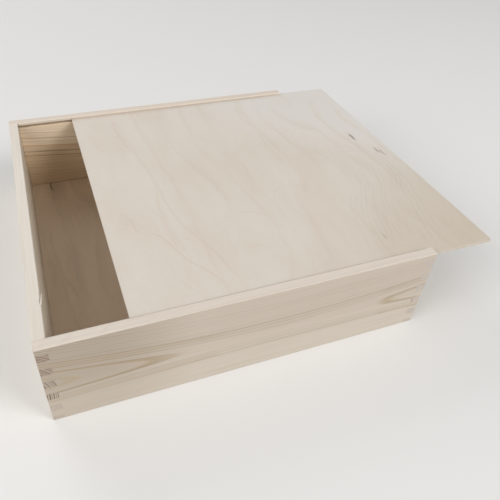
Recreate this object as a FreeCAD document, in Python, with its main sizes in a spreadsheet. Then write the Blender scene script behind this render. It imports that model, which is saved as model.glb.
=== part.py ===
"""Sliding-lid wooden box: four finger-jointed pine boards, a plywood bottom and a plywood lid.

The box stands on its underside. +X is the way the lid slides out, +Y is the back and +Z is up.
The origin is the centre of the underside. The lid is modelled partly open, at lid_open.

Each board is drawn in its own corner, with every coordinate positive, and its Placement then
puts it in the box. A "low" or "near" value is measured from that corner.
"""
import FreeCAD, Part
import os

import Sketcher
from FreeCAD import Vector

SHEET = "sizes"
SIZES = (
    ("box_length", 350.0, "outside, along the lid's travel"),
    ("box_depth", 350.0, "outside, front to back"),
    ("box_height", 92.0, "outside, underside to rim"),
    ("wall", 9.5, "planed thickness of the four boards"),
    ("lip", 3.2, "wood left over the lid groove, up to the rim"),
    ("groove_depth", 4.8, "how far the lid groove goes into a board"),
    ("lid_thickness", 3.3, "plywood of the lid"),
    ("lid_play", 0.3, "groove height less lid thickness"),
    ("lid_side_gap", 0.4, "between each held edge of the lid and the bottom of its groove"),
    ("lid_open", 66.5, "how far the lid is drawn out of the closed box"),
    ("lid_edge_round", 0.4, "sanded edges of the lid"),
    ("panel_thickness", 3.3, "plywood of the bottom, and height of its rebate"),
    ("rebate_depth", 4.8, "how far the bottom's rebate goes into a board"),
    ("finger", 8.0, "height of one finger of the corner joints"),
    ("edge_round", 0.8, "sanded outside edges of the box"),
)

# Expressions worked out from the sheet. FIRST_FINGER is the lower side of the end boards' first finger.
GROOVE_HEIGHT = "(sizes.lid_thickness + sizes.lid_play)"
GROOVE_TOP = "(sizes.box_height - sizes.lip)"
GROOVE_FLOOR = f"({GROOVE_TOP} - {GROOVE_HEIGHT})"
GROOVE_BOTTOM = "(sizes.wall - sizes.groove_depth)"
REBATE_BOTTOM = "(sizes.wall - sizes.rebate_depth)"
LID_EDGE = f"({GROOVE_BOTTOM} + sizes.lid_side_gap)"
FIRST_FINGER = f"({GROOVE_FLOOR} - sizes.finger)"
FINGER_PITCH = "(2 * sizes.finger)"
THROUGH_ALL = None

# The way each base plane's normal points along its axis, so that all features grow the positive way.
NORMAL_SIGN = {"XY_Plane": 1, "XZ_Plane": -1, "YZ_Plane": 1}
# A board's faces: the axis across each, and where its bounding box gives the place.
FACES = {
    "left": ("x", "XMin"),
    "right": ("x", "XMax"),
    "front": ("y", "YMin"),
    "back": ("y", "YMax"),
    "underside": ("z", "ZMin"),
    "rim": ("z", "ZMax"),
}
NEAR, FAR = 1.0, 9.0  # where a rectangle's sides stand before its constraints move them
LEAST_CUT = 1.0  # mm3, less than any cut takes away
ON_PLANE = 1e-4  # mm, within which an edge lies on a face

doc = FreeCAD.newDocument("sliding_lid_box")


def make_sheet():
    """The spreadsheet of driving dimensions, in millimetres."""
    sheet = doc.addObject("Spreadsheet::Sheet", SHEET)
    for row, (alias, value, meaning) in enumerate(SIZES, start=1):
        sheet.set(f"A{row}", alias)
        sheet.set(f"B{row}", str(value))
        sheet.set(f"C{row}", meaning)
        sheet.setAlias(f"B{row}", alias)
    doc.recompute()


def new_body(name, x, y, z="0"):
    """An empty body whose own corner stands at the given expressions."""
    body = doc.addObject("PartDesign::Body", name)
    body.Label = name
    for axis, expression in zip("xyz", (x, y, z)):
        body.setExpression(f"Placement.Base.{axis}", expression)
    return body


def new_sketch(body, name, plane, start="0"):
    """An empty sketch parallel to a base plane, moved the positive way to start."""
    sketch = body.newObject("Sketcher::SketchObject", name)
    base = next(f for f in body.Origin.OriginFeatures if f.Role == plane)
    sketch.AttachmentSupport = [(base, "")]
    sketch.MapMode = "FlatFace"
    sketch.setExpression("AttachmentOffset.Base.z", f"{NORMAL_SIGN[plane]} * {start}")
    return sketch


def hold(sketch, kind, line, point, expression):
    """Holds one end of a line at an expression, measured from the sketch's origin."""
    if expression == "0":
        axis = -2 if kind == "DistanceX" else -1
        sketch.addConstraint(Sketcher.Constraint("PointOnObject", line, point, axis))
        return
    made = sketch.addConstraint(Sketcher.Constraint(kind, -1, 1, line, point, 1.0))
    sketch.setExpression(f"Constraints[{made}]", expression)


def rectangle(sketch, left, low, right, high):
    """A rectangle whose sides stand at the four expressions."""
    places = ((NEAR, NEAR), (FAR, NEAR), (FAR, FAR), (NEAR, FAR))
    corners = [Vector(x, y, 0) for x, y in places]
    first = sketch.GeometryCount
    for start, end in zip(corners, corners[1:] + corners[:1]):
        sketch.addGeometry(Part.LineSegment(start, end), False)
    for side in range(4):
        following = first + (side + 1) % 4
        sketch.addConstraint(Sketcher.Constraint("Coincident", first + side, 2, following, 1))
        direction = "Vertical" if side % 2 else "Horizontal"
        sketch.addConstraint(Sketcher.Constraint(direction, first + side))
    hold(sketch, "DistanceX", first, 1, left)
    hold(sketch, "DistanceY", first, 1, low)
    hold(sketch, "DistanceX", first + 1, 2, right)
    hold(sketch, "DistanceY", first + 1, 2, high)


def blank(body, plane, across, high, thick):
    """A plain board: across by high on the plane, and thick the positive way."""
    sketch = new_sketch(body, body.Name + "_outline", plane)
    rectangle(sketch, "0", "0", across, high)
    pad = body.newObject("PartDesign::Pad", body.Name + "_blank")
    pad.Profile = sketch
    pad.Reversed = NORMAL_SIGN[plane] < 0
    pad.setExpression("Length", thick)
    doc.recompute()


def round_edges(body, radius, faces):
    """Rounds each edge of a blank where two of the named faces meet."""
    base = body.Tip
    box = base.Shape.BoundBox
    planes = [(axis, getattr(box, limit)) for axis, limit in (FACES[face] for face in faces)]
    names = []
    for number, edge in enumerate(base.Shape.Edges, start=1):
        ends = [vertex.Point for vertex in edge.Vertexes]
        on_faces = [
            all(abs(getattr(end, axis) - place) < ON_PLANE for end in ends)
            for axis, place in planes
        ]
        if sum(on_faces) == 2:
            names.append(f"Edge{number}")
    fillet = body.newObject("PartDesign::Fillet", body.Name + "_rounding")
    fillet.Base = (base, names)
    fillet.setExpression("Radius", radius)
    body.Tip = fillet
    doc.recompute()


def cut(body, name, plane, rectangles, start="0", length=THROUGH_ALL):
    """Cuts rectangles out of a board, from start, the positive way. Returns the sketch and pocket."""
    volume = body.Shape.Volume
    sketch = new_sketch(body, f"{body.Name}_{name}_outline", plane, start)
    for sides in rectangles:
        rectangle(sketch, *sides)
    pocket = body.newObject("PartDesign::Pocket", f"{body.Name}_{name}")
    pocket.Profile = sketch
    pocket.Reversed = NORMAL_SIGN[plane] > 0
    if length is THROUGH_ALL:
        pocket.Type = "ThroughAll"
    else:
        pocket.setExpression("Length", length)
    doc.recompute()
    if body.Shape.Volume > volume - LEAST_CUT:
        raise ValueError(f"{pocket.Name} cuts nothing")
    return sketch, pocket


def repeat_down(body, sketch, pocket, count):
    """Repeats a cut down the board, two fingers apart."""
    pattern = body.newObject("PartDesign::LinearPattern", pocket.Name + "_row")
    pattern.Originals = [pocket]
    pattern.Direction = (sketch, ["V_Axis"])
    pattern.Reversed = True
    pattern.Mode = "Spacing"
    pattern.setExpression("Offset", FINGER_PITCH)
    pattern.setExpression("Occurrences", count)
    body.Tip = pattern
    doc.recompute()


def both_ends(across, low, high):
    """The same cut, one board thick, at both ends of a board that is across wide."""
    return (
        ("0", low, "sizes.wall", high),
        (f"{across} - sizes.wall", low, across, high),
    )


def end_sockets(body):
    """Sockets in a long board for the fingers of the two end boards, from the groove down."""
    rectangles = both_ends("sizes.box_length", FIRST_FINGER, GROOVE_FLOOR)
    sketch, pocket = cut(body, "socket", "XZ_Plane", rectangles)
    repeat_down(body, sketch, pocket, f"ceil({GROOVE_FLOOR} / {FINGER_PITCH})")


def end_notches(body):
    """Notches in an end board for the fingers of the two long boards, below its first finger."""
    low = f"({FIRST_FINGER} - sizes.finger)"
    sketch, pocket = cut(body, "notch", "YZ_Plane", both_ends("sizes.box_depth", low, FIRST_FINGER))
    repeat_down(body, sketch, pocket, f"ceil({FIRST_FINGER} / {FINGER_PITCH})")


def from_inside(outer, depth):
    """Where a cut into the inner face of a board begins and ends across its thickness."""
    if outer in ("front", "left"):
        return f"(sizes.wall - {depth})", "sizes.wall"
    return "0", depth


def long_wall(name, outer, y):
    """The front or back board. Its lid groove stops at the left and runs out at the right."""
    body = new_body(name, "-sizes.box_length / 2", y)
    blank(body, "XZ_Plane", "sizes.box_length", "sizes.box_height", "sizes.wall")
    round_edges(body, "sizes.edge_round", (outer, "left", "right", "underside", "rim"))
    end_sockets(body)
    near, far = from_inside(outer, "sizes.groove_depth")
    cut(
        body, "groove", "YZ_Plane", [(near, GROOVE_FLOOR, far, GROOVE_TOP)],
        start=GROOVE_BOTTOM, length=f"sizes.box_length - {GROOVE_BOTTOM}",
    )
    near, far = from_inside(outer, "sizes.rebate_depth")
    cut(
        body, "rebate", "YZ_Plane", [(near, "0", far, "sizes.panel_thickness")],
        start=REBATE_BOTTOM, length=f"sizes.box_length - 2 * {REBATE_BOTTOM}",
    )
    return body


def end_wall(name, outer, x, high, rounded):
    """An end board up to high, without a lid groove. The rounded faces meet in rounded edges."""
    body = new_body(name, x, "-sizes.box_depth / 2")
    blank(body, "YZ_Plane", "sizes.box_depth", high, "sizes.wall")
    round_edges(body, "sizes.edge_round", rounded)
    end_notches(body)
    near, far = from_inside(outer, "sizes.rebate_depth")
    cut(
        body, "rebate", "XZ_Plane", [(near, "0", far, "sizes.panel_thickness")],
        start=REBATE_BOTTOM, length=f"sizes.box_depth - 2 * {REBATE_BOTTOM}",
    )
    return body


def left_end_wall():
    """The end board that the closed lid runs into. It reaches the rim between the long boards."""
    rounded = ("left", "front", "back", "underside", "rim")
    body = end_wall("left_end_wall", "left", "-sizes.box_length / 2", "sizes.box_height", rounded)
    cut(body, "shoulder", "YZ_Plane", both_ends("sizes.box_depth", GROOVE_FLOOR, "sizes.box_height"))
    near, far = from_inside("left", "sizes.groove_depth")
    cut(body, "groove", "XZ_Plane", [(near, GROOVE_FLOOR, far, GROOVE_TOP)])
    return body


def right_end_wall():
    """The low end board. It stops at the groove's floor, so that the lid passes over it."""
    x = "sizes.box_length / 2 - sizes.wall"
    rounded = ("right", "front", "back", "underside")
    return end_wall("right_end_wall", "right", x, GROOVE_FLOOR, rounded)


def bottom_panel():
    """The plywood bottom. It fills the rebate and is flush with the undersides of the boards."""
    body = new_body(
        "bottom_panel",
        f"-sizes.box_length / 2 + {REBATE_BOTTOM}",
        f"-sizes.box_depth / 2 + {REBATE_BOTTOM}",
    )
    across = f"sizes.box_length - 2 * {REBATE_BOTTOM}"
    deep = f"sizes.box_depth - 2 * {REBATE_BOTTOM}"
    blank(body, "XY_Plane", across, deep, "sizes.panel_thickness")
    return body


def lid():
    """The plywood lid. Closed, it is in the left groove and flush with the right end of the box."""
    body = new_body(
        "lid",
        f"-sizes.box_length / 2 + {LID_EDGE} + sizes.lid_open",
        f"-sizes.box_depth / 2 + {LID_EDGE}",
        f"{GROOVE_FLOOR} + sizes.lid_play / 2",
    )
    across = f"sizes.box_length - {LID_EDGE}"
    deep = f"sizes.box_depth - 2 * {LID_EDGE}"
    blank(body, "XY_Plane", across, deep, "sizes.lid_thickness")
    round_edges(body, "sizes.lid_edge_round", tuple(FACES))
    return body


def check(bodies):
    """Stops before anything is written if an object failed or a board isn't one valid solid."""
    failed = [o.Name for o in doc.Objects if {"Invalid", "Error"} & set(o.State)]
    if failed:
        raise ValueError(f"these objects failed: {failed}")
    for body in bodies:
        shape = body.Shape
        if shape.isNull() or not shape.isValid() or len(shape.Solids) != 1:
            raise ValueError(f"{body.Label} isn't one valid solid")


def write(bodies):
    """One STEP file for each piece, named after its node."""
    os.makedirs("parts", exist_ok=True)
    for body in bodies:
        body.Shape.exportStep(os.path.join("parts", body.Label + ".step"))
        print(f"{body.Label}: {body.Shape.Volume / 1000:.1f} cm3, {body.Shape.BoundBox}")


make_sheet()
pieces = [
    long_wall("front_wall", "front", "-sizes.box_depth / 2"),
    long_wall("back_wall", "back", "sizes.box_depth / 2 - sizes.wall"),
    left_end_wall(),
    right_end_wall(),
    bottom_panel(),
    lid(),
]
doc.recompute()
check(pieces)
write(pieces)
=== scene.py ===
"""Sliding lid wooden box: four finger-jointed pine boards, a plywood bottom and a plywood lid.

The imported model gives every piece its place, in metres: +X is the way the lid slides out, +Y is
the back and +Z is up. The boards and the plywood are built again on it, with the small arrises,
plies and splinters of real joinery, and each gets a figure of its own.
"""
from __future__ import annotations

import functools
import logging
import math
from dataclasses import dataclass
from enum import Enum

import bmesh
import bpy
from mathutils import Euler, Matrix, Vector

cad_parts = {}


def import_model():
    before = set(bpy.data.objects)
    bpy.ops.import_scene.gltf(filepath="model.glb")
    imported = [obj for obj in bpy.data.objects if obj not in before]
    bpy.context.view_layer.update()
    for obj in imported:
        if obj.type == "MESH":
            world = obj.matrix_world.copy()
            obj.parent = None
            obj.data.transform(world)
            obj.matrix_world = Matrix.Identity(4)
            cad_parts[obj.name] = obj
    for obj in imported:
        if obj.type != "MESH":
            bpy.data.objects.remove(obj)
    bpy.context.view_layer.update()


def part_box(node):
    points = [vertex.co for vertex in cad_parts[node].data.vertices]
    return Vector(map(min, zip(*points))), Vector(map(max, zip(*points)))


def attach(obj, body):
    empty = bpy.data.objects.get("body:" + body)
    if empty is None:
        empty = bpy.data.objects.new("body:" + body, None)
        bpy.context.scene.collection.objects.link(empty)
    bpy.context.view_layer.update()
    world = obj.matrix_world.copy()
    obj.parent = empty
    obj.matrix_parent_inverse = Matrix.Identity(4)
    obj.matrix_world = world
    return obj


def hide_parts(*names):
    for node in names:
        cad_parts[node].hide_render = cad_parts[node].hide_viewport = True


log = logging.getLogger("wooden_box")

Socket = bpy.types.NodeSocket
Pair = tuple[float, float]
Triple = tuple[float, float, float]
Colour = tuple[float, float, float, float]

MM = 0.001
ORIGIN = (0.0, 0.0, 0.0)
UPWARDS = (0.0, 0.0, 1.0)
SHARP_ANGLE = math.radians(35)
ARRIS_STEPS = 2


class Grain(Enum):
    """The way a board's fibres run, with the turn about Z that lays them along X."""

    ALONG_X = 0.0
    ALONG_Y = -math.pi / 2

    @property
    def direction(self) -> Triple:
        """The unit vector along the fibres."""
        return (1.0, 0.0, 0.0) if self is Grain.ALONG_X else (0.0, 1.0, 0.0)


class Face(Enum):
    """An outer face of a board: its axis, and 0 for the low end of the box or 1 for the high."""

    LEFT = (0, 0)
    RIGHT = (0, 1)
    FRONT = (1, 0)
    BACK = (1, 1)
    UNDERSIDE = (2, 0)
    RIM = (2, 1)


def shade(red: int, green: int, blue: int) -> Colour:
    """A colour for a shader.

    Args:
        red, green, blue: the colour as it is seen, each from 0 to 255.

    Returns:
        The same colour in linear light, with full alpha.
    """
    linear = [
        c / 12.92 if c <= 0.04045 else ((c + 0.055) / 1.055) ** 2.4
        for c in (red / 255, green / 255, blue / 255)
    ]
    return (*linear, 1.0)


# The colour of painted shade, in the inside corners and in the gap between a lip and the lid, and how
# much of it the corners take.
SHADE_TONE = shade(92, 70, 52)
CORNER_SHADE = 0.42


# --- Node trees -------------------------------------------------------------------------------


class Value:
    """What comes out of a node, so that sums are written as plain ones."""

    def __init__(self, writer: NodeWriter, socket: Socket) -> None:
        """Stands for one output of a node that the writer made."""
        self.writer = writer
        self.socket = socket

    def __add__(self, other: Value | float) -> Value:
        """The sum."""
        return self.writer.math("ADD", self, other)

    def __sub__(self, other: Value | float) -> Value:
        """The difference."""
        return self.writer.math("SUBTRACT", self, other)

    def __rsub__(self, other: float) -> Value:
        """What is left of a plain number."""
        return self.writer.math("SUBTRACT", other, self)

    def __mul__(self, other: Value | float) -> Value:
        """The product."""
        return self.writer.math("MULTIPLY", self, other)

    __rmul__ = __mul__

    def __truediv__(self, other: Value | float) -> Value:
        """The quotient."""
        return self.writer.math("DIVIDE", self, other)

    def __abs__(self) -> Value:
        """The number without its sign."""
        return self.writer.math("ABSOLUTE", self)


class NodeWriter:
    """Adds nodes to one tree and links what feeds them."""

    NOISE_ROUGHNESS = 0.55

    def __init__(self, tree: bpy.types.NodeTree) -> None:
        """Writes to the given tree."""
        self.tree = tree

    def node(self, kind: str, inputs: dict | None = None, **settings: object) -> bpy.types.Node:
        """Adds one node.

        Args:
            kind: the node's type name.
            inputs: its sockets by name or number, each with what feeds it or is set there.
            settings: the node's own properties.

        Returns:
            The new node.
        """
        made = self.tree.nodes.new(kind)
        for name, value in settings.items():
            setattr(made, name, value)
        for key, value in (inputs or {}).items():
            self.feed(made.inputs[key], value)
        return made

    def feed(self, socket: Socket, value: object) -> None:
        """Links a socket to what feeds it, or sets it."""
        if isinstance(value, Value):
            self.tree.links.new(value.socket, socket)
        else:
            socket.default_value = value

    def values(self, node: bpy.types.Node) -> list[Value]:
        """All that comes out of a node."""
        return [Value(self, socket) for socket in node.outputs]

    def value(
        self, kind: str, inputs: dict | None = None, output: int | str = 0, **settings: object
    ) -> Value:
        """Adds one node, and gives one of its outputs."""
        return Value(self, self.node(kind, inputs, **settings).outputs[output])

    def math(self, operation: str, *values: Value | float) -> Value:
        """The result of a Math node."""
        return self.value("ShaderNodeMath", dict(enumerate(values)), operation=operation)

    def vector_math(self, operation: str, *values: Value | Triple) -> Value:
        """The result of a Vector Math node: a number for a dot product or length, else a vector."""
        output = 1 if operation in ("DOT_PRODUCT", "LENGTH") else 0
        return self.value("ShaderNodeVectorMath", dict(enumerate(values)), output, operation=operation)

    def parts(self, vector: Value) -> list[Value]:
        """The X, Y and Z of a vector."""
        return self.values(self.node("ShaderNodeSeparateXYZ", {0: vector}))

    def joined(self, x: Value | float, y: Value | float, z: Value | float) -> Value:
        """A vector of three numbers."""
        return self.value("ShaderNodeCombineXYZ", {0: x, 1: y, 2: z})

    def step(self, value: Value, none: float, whole: float) -> Value:
        """A smooth step from 0 where the value is at none to 1 at whole, up or down."""
        inputs = {0: value, 1: none, 2: whole, 3: 0.0, 4: 1.0}
        return self.value("ShaderNodeMapRange", inputs, interpolation_type="SMOOTHSTEP")

    def share(self, value: Value, low: float, high: float) -> Value:
        """How far the value has come from low to high, from 0 to 1."""
        return self.value("ShaderNodeMapRange", {0: value, 1: low, 2: high})

    def spread(self, share: Value, low: Value | float, high: Value | float) -> Value:
        """A number from 0 to 1 spread out from low to high."""
        return self.value("ShaderNodeMapRange", {0: share, 3: low, 4: high})

    def blend(
        self, share: Value | float, first: Value | Colour, second: Value | Colour, way: str = "MIX"
    ) -> Value:
        """One colour under a share of another."""
        inputs = {0: share, 6: first, 7: second}
        return self.value("ShaderNodeMix", inputs, 2, data_type="RGBA", blend_type=way)

    def layered(self, colour: Value, *layers: tuple[Value | float, Colour]) -> Value:
        """A colour with shares of others laid over it one by one."""
        for share, tone in layers:
            colour = self.blend(share, colour, tone)
        return colour

    def noise(self, point: Value, stretch: Triple, detail: float = 2.0) -> Value:
        """Smooth noise from 0 to 1.

        Args:
            point: where, in metres.
            stretch: the size of its grains along X, Y and Z, in metres.
            detail: how many finer layers it has.

        Returns:
            The noise.
        """
        scaled = self.vector_math("MULTIPLY", point, tuple(1 / size for size in stretch))
        inputs = {
            "Vector": scaled, "Scale": 1.0, "Detail": detail, "Roughness": self.NOISE_ROUGHNESS,
        }
        return self.value("ShaderNodeTexNoise", inputs)


class GroupDraft(NodeWriter):
    """A node group in the making. Given holds what comes in, in the order of its inputs."""

    SOCKETS = {
        float: "NodeSocketFloat",
        int: "NodeSocketInt",
        tuple: "NodeSocketVector",
        bpy.types.Material: "NodeSocketMaterial",
        bpy.types.Mesh: "NodeSocketGeometry",
    }

    def __init__(self, name: str, tree_kind: str, inputs: dict, outputs: dict) -> None:
        """Starts a group.

        Args:
            name: the group's name.
            tree_kind: ShaderNodeTree or GeometryNodeTree.
            inputs: each input's name, with its first value or a type that has none.
            outputs: each output's name, with its type.
        """
        super().__init__(bpy.data.node_groups.new(name, tree_kind))
        for way, sockets in (("INPUT", inputs), ("OUTPUT", outputs)):
            for label, first in sockets.items():
                kind = first if isinstance(first, type) else type(first)
                made = self.tree.interface.new_socket(
                    label, in_out=way, socket_type=self.SOCKETS[kind]
                )
                if kind is not first:
                    made.default_value = first
        self.given = self.values(self.node("NodeGroupInput"))[: len(inputs)]

    def finish(self, *results: Value) -> bpy.types.NodeTree:
        """Feeds the outputs in their order, and returns the group."""
        self.node("NodeGroupOutput", dict(enumerate(results)))
        return self.tree


def shader_group(name: str, inputs: dict, *outputs: str) -> GroupDraft:
    """A shader node group in the making, whose outputs are numbers."""
    return GroupDraft(name, "ShaderNodeTree", inputs, dict.fromkeys(outputs, float))


@functools.cache
def pith_distance() -> bpy.types.NodeTree:
    """How far a point lies from a pith that runs roughly along X, in metres.

    Returns:
        The group. Rise and Bow are curves per metre of length: the pith's own height, and the
        rings' radius. Lean is the pith's slope.
    """
    inputs = {
        "Point": ORIGIN, "Pith": ORIGIN, "Bow": 0.2, "Rise": 0.0, "Lean": 0.0, "Waviness": 0.001,
    }
    draft = shader_group("Pith distance", inputs, "Radius")
    point, pith, bow, rise, lean, waviness = draft.given
    along, across, up = draft.parts(draft.vector_math("SUBTRACT", point, pith))
    square = along * along
    height = up - (square * rise + along * lean)
    radius = draft.vector_math("LENGTH", draft.joined(0.0, across, height))
    sway = draft.noise(point, (0.11, 0.03, 0.014)) - 0.5
    return draft.finish(sway * waviness + radius - square * bow)


@functools.cache
def fine_rings() -> bpy.types.NodeTree:
    """Narrow, uneven growth rings.

    Returns:
        The group. Latewood is the dark side of each ring.
    """
    draft = shader_group("Fine rings", {"Radius": 0.0, "Spacing": 0.003}, "Latewood")
    radius, spacing = draft.given
    even = radius / spacing
    years = {"W": even, "Scale": 0.31, "Detail": 1.0}
    drift = draft.value("ShaderNodeTexNoise", years, noise_dimensions="1D") - 0.5
    most_drift = 1.8
    count = drift * most_drift + even
    ring = draft.math("FLOOR", count)
    growth = count - ring
    tone = draft.value("ShaderNodeTexWhiteNoise", {"W": ring}, noise_dimensions="1D")
    latest = 0.08
    late = draft.step(growth, 0.55, latest) * draft.step(growth, 0.0, latest)
    return draft.finish(late * draft.spread(tone, 0.25, 1.0))


@functools.cache
def fibre_streaks() -> bpy.types.NodeTree:
    """Fine streaks and resin ducts along X.

    Returns:
        The group.
    """
    draft = shader_group("Fibre streaks", {"Point": ORIGIN}, "Streaks", "Ducts")
    point = draft.given[0]
    fine = draft.noise(point, (0.06, 0.0011, 0.0011))
    broad = draft.noise(point, (0.16, 0.005, 0.005))
    ducts = draft.noise(point, (0.0045, 0.0005, 0.0005), 0.0)
    return draft.finish((fine + broad) * 0.5, draft.step(ducts, 0.76, 0.86))


@functools.cache
def end_grain() -> bpy.types.NodeTree:
    """Where a surface cuts across the fibres, and how rough it is there.

    Returns:
        The group. Grain is the way that the fibres run.
    """
    inputs = {"Point": ORIGIN, "Normal": UPWARDS, "Grain": (1.0, 0.0, 0.0)}
    draft = shader_group("End grain", inputs, "Mask", "Pores")
    point, normal, grain = draft.given
    facing = abs(draft.vector_math("DOT_PRODUCT", normal, grain))
    pores = draft.noise(point, (0.0005, 0.0005, 0.0005))
    return draft.finish(draft.step(facing, 0.55, 0.85), pores)


@functools.cache
def arris() -> bpy.types.NodeTree:
    """Where a surface is a rounded or broken edge, which hands and sandpaper have polished.

    Returns:
        The group.
    """
    draft = shader_group("Arris", {"Point": ORIGIN, "Normal": UPWARDS}, "Mask")
    point, normal = draft.given
    x, y, z = draft.parts(draft.vector_math("ABSOLUTE", normal))
    largest = draft.math("MAXIMUM", x, draft.math("MAXIMUM", y, z))
    patchy = draft.noise(point, (0.02, 0.02, 0.02), 3.0)
    return draft.finish(draft.step(largest, 0.999, 0.93) * draft.step(patchy, 0.3, 0.6))


@functools.cache
def painted_corner_shade() -> bpy.types.NodeTree:
    """Where two of the box's inner faces meet, in a thin and patchy line of painted shade.

    Returns:
        The group. Half is how far the inner faces of the boards lie from the middle, Floor is
        the height of the bottom's upper face, and Low that of the low board at the right. The
        line is faint along the floor's ends, away from the long boards.
    """
    inputs = {"Point": ORIGIN, "Half": 0.17, "Floor": 0.003, "Low": 0.085}
    draft = shader_group("Painted corner shade", inputs, "Mask")
    point, half, floor, low = draft.given
    x, y, z = draft.parts(point)
    end = half - abs(x)
    side = half - abs(y)
    nearest = draft.math("MINIMUM", end, side)
    next_wall = draft.math("MAXIMUM", end, side)
    second = draft.math("MAXIMUM", nearest, draft.math("MINIMUM", next_wall, z - floor))
    line = draft.step(second, 0.0013, 0.0002)
    inside = draft.step(nearest, -0.0008, -0.0002)
    over_low = draft.step(z - low, -0.0003, 0.0001) * draft.step(x, 0.0, 0.001)
    quiet = draft.spread(draft.step(side, 0.003, 0.012), 1.0, 0.15)
    patchy = draft.step(draft.noise(point, (0.02, 0.02, 0.007)), 0.3, 0.62)
    shown = line * quiet * inside * (1.0 - over_low)
    return draft.finish(shown * draft.spread(patchy, 0.35, 1.0))


@functools.cache
def veneer_figure() -> bpy.types.NodeTree:
    """The contour lines, vessels and clouds of peeled veneer, whose fibres run along Y.

    Returns:
        The group. The lines are a Pitch apart and wander by up to half of Swirl pitches.
    """
    inputs = {"Point": ORIGIN, "Pitch": 0.02, "Swirl": 5.0, "Drift": ORIGIN}
    draft = shader_group("Veneer figure", inputs, "Lines", "Vessels", "Clouds")
    point, pitch, swirl, drift = draft.given
    x, y, _ = draft.parts(point)
    point = draft.vector_math("ADD", draft.joined(x, y, 0.0), drift)
    swell = draft.noise(point, (0.11, 0.3, 0.1), 1.0) - 0.5
    ripple = (draft.noise(point, (0.02, 0.06, 0.02)) - 0.5) * 0.7
    place = draft.math("FRACT", swell * swirl + x / pitch + ripple)
    darkest = 0.05
    line = draft.step(place, 0.0, darkest) * draft.step(place, 0.42, darkest)
    fading = draft.step(draft.noise(point, (0.05, 0.12, 0.05)), 0.32, 0.68)
    vessels = draft.noise(point, (0.00035, 0.006, 0.001), 1.0)
    clouds = draft.noise(point, (0.035, 0.09, 0.05), 3.0)
    return draft.finish(line * fading, draft.step(vessels, 0.45, 0.75), clouds)


@functools.cache
def figure_line() -> bpy.types.NodeTree:
    """A soft line that follows a curve over a sheet of veneer.

    Returns:
        The group. Off is how far a point lies to the side of the curve, and Along is its place
        between Start and End. Beside lines more run along on either side, Pitch apart.
    """
    inputs = {
        "Point": ORIGIN, "Off": 0.0, "Along": 0.0, "Start": -0.1, "End": 0.1, "Width": 0.002,
        "Beside": 0.0, "Pitch": 0.006,
    }
    draft = shader_group("Figure line", inputs, "Mask")
    point, off, along, start, end, width, beside, pitch = draft.given
    wander = (draft.noise(point, (0.012, 0.02, 0.02)) - 0.5) * (4 * MM)
    sway = (draft.noise(point, (0.03, 0.06, 0.05)) - 0.5) * (beside * (2 * MM))
    off = wander + off + sway
    number = draft.math("MINIMUM", beside, draft.math("ROUND", off / pitch))
    number = draft.math("MAXIMUM", beside * -1.0, number)
    line = draft.step(abs(off - number * pitch) / width, 1.0, 0.1)
    fade = (-4 * MM, 20 * MM)
    within = draft.step(along - start, *fade) * draft.step(end - along, *fade)
    own = draft.noise(draft.joined(number, along, 0.0), (0.4, 0.035, 1.0), 0.0)
    own = draft.spread(draft.step(own, 0.35, 0.65), 0.1, 1.0)
    own = draft.math("MAXIMUM", own, 1.0 - beside * 0.5)
    worn = draft.spread(draft.noise(point, (0.03, 0.03, 0.03)), 0.35, 1.0)
    return draft.finish(line * (within * own) * worn)


@functools.cache
def pin_knot() -> bpy.types.NodeTree:
    """One small knot or bark streak in veneer whose fibres run along Y.

    Returns:
        The group. Bend is how sharply it curves, per metre.
    """
    inputs = {"Point": ORIGIN, "Centre": ORIGIN, "Length": 0.02, "Width": 0.004, "Bend": 0.0}
    draft = shader_group("Pin knot", inputs, "Mask")
    point, centre, length, width, bend = draft.given
    x, y, _ = draft.parts(draft.vector_math("SUBTRACT", point, centre))
    ragged = (draft.noise(point, (0.0015, 0.006, 0.002)) - 0.5) * 0.7
    oval = draft.joined((x - y * y * bend) / width, y / length, 0.0)
    far = draft.vector_math("LENGTH", oval) + ragged
    return draft.finish(draft.step(far, 0.52, 0.1))


# --- Finishes ---------------------------------------------------------------------------------


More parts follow.
